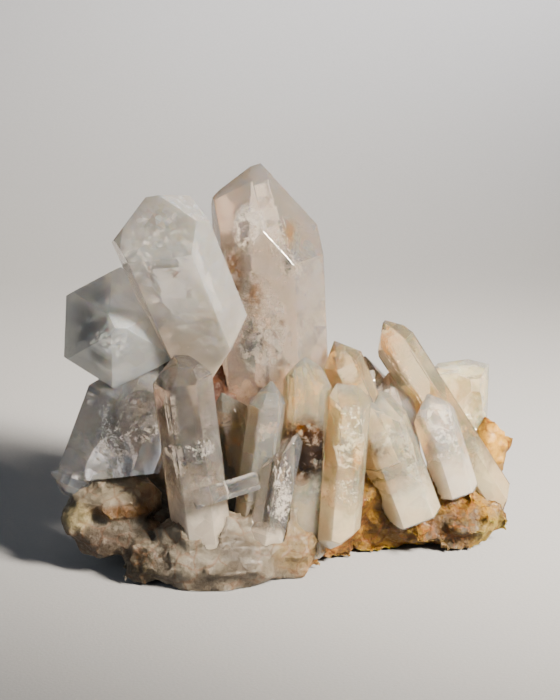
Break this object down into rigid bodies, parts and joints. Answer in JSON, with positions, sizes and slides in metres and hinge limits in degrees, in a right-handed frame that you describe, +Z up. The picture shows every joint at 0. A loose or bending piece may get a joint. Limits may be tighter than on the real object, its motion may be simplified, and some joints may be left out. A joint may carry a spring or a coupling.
{
  "type": "quartz crystal cluster",
  "caption": "Natural quartz cluster: clear and cloudy six-sided crystals standing and leaning out of rough milky iron-stained matrix.",
  "frame": {"origin": "middle of the bounding box at the floor, on the flat broken underside", "axes": "+X the viewer's right in the picture, -Y towards the viewer, +Z up"},
  "size_m": [0.1716, 0.1102, 0.1456],
  "materials": {
    "quartz": "natural quartz: clear, smoky and milky crystals with veils inside, on a granular milky matrix stained by iron"
  },
  "bodies": {
    "root": {"quartz_cluster": "quartz"}
  },
  "joints": []
}
